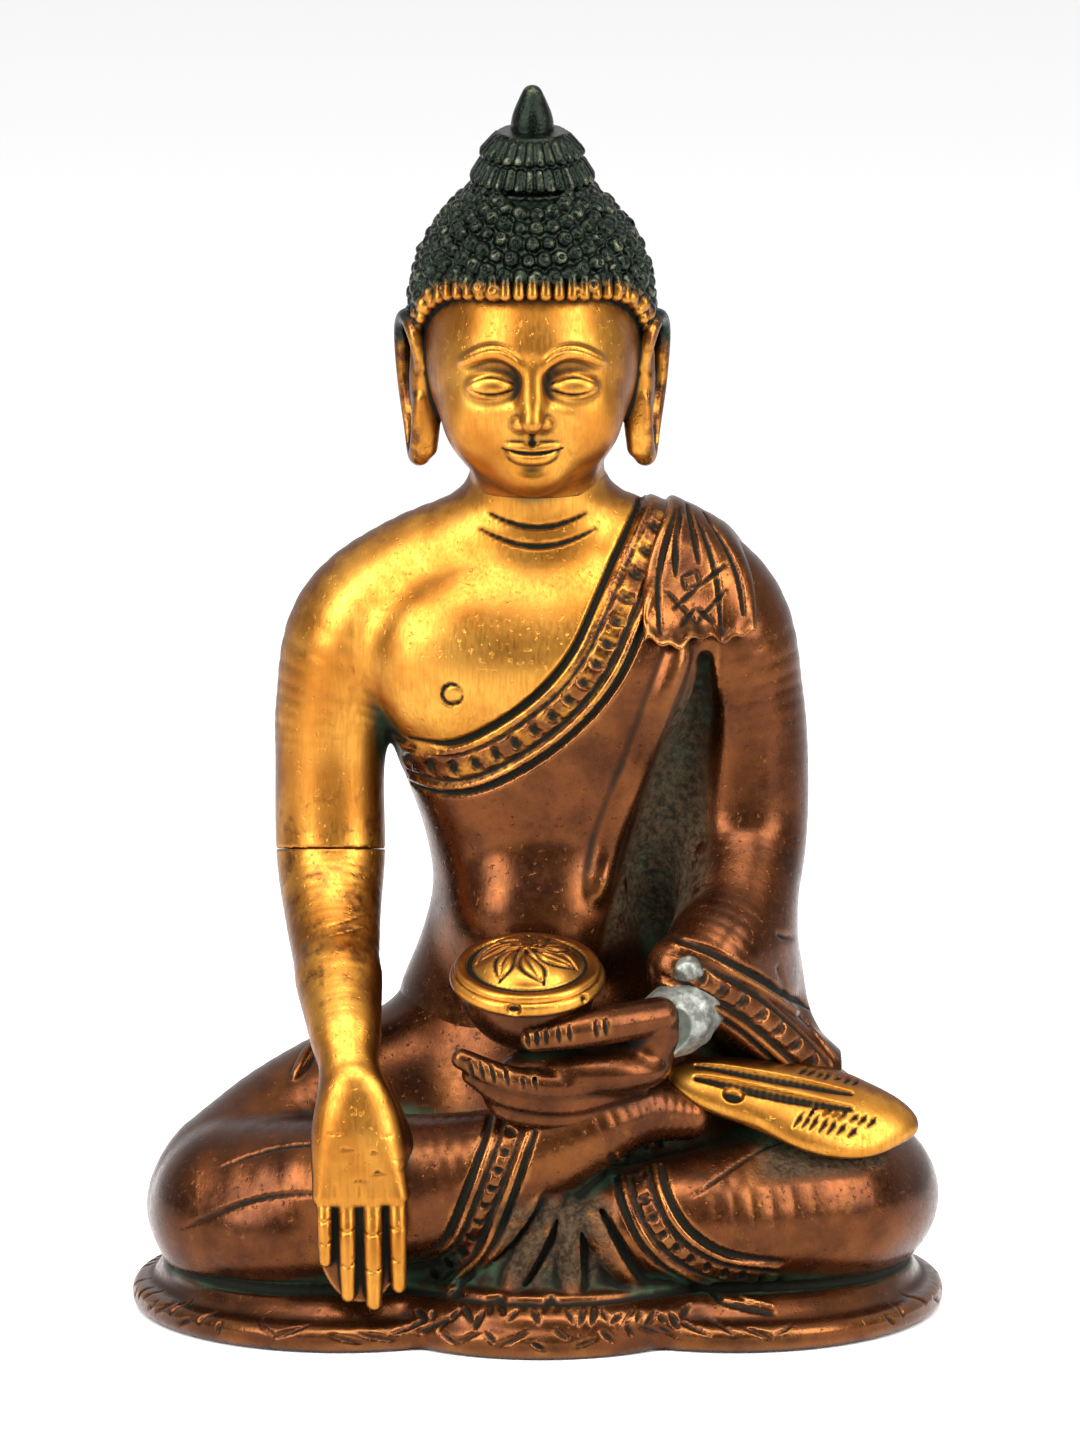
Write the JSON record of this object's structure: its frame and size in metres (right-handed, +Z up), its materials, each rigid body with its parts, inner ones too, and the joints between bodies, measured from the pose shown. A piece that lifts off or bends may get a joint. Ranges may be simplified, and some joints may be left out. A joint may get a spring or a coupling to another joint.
{
  "type": "seated buddha statue",
  "caption": "Free-standing seated brass figure that touches the earth with its right hand and holds a lidded bowl in its lap, on a lobed foot rim.",
  "frame": {"origin": "middle of the foot rim, on the surface that the figure stands on", "axes": "+Z up, the figure faces -Y, and its own left side is towards +X"},
  "size_m": [0.106, 0.072, 0.16],
  "materials": {
    "polished_brass": "brushed, with dark dirt left in the cuts",
    "copper_patina": "reddish brown patina, half polished",
    "dark_hair": "nearly black, glossy",
    "sheet_brass": "rolled sheet, dull",
    "soft_solder": "rough, grey white"
  },
  "bodies": {
    "root": {"lap_casting": "copper_patina", "base_plate": "sheet_brass", "torso_casting": "polished_brass", "right_forearm": "polished_brass", "head_casting": "polished_brass", "crown_jewel": "dark_hair", "left_hand": "copper_patina", "alms_bowl": "polished_brass", "bowl_lid": "polished_brass", "right_sole": "polished_brass", "shoulder_fold": "copper_patina", "wrist_solder": "soft_solder", "cuff_solder": "soft_solder"}
  },
  "joints": []
}
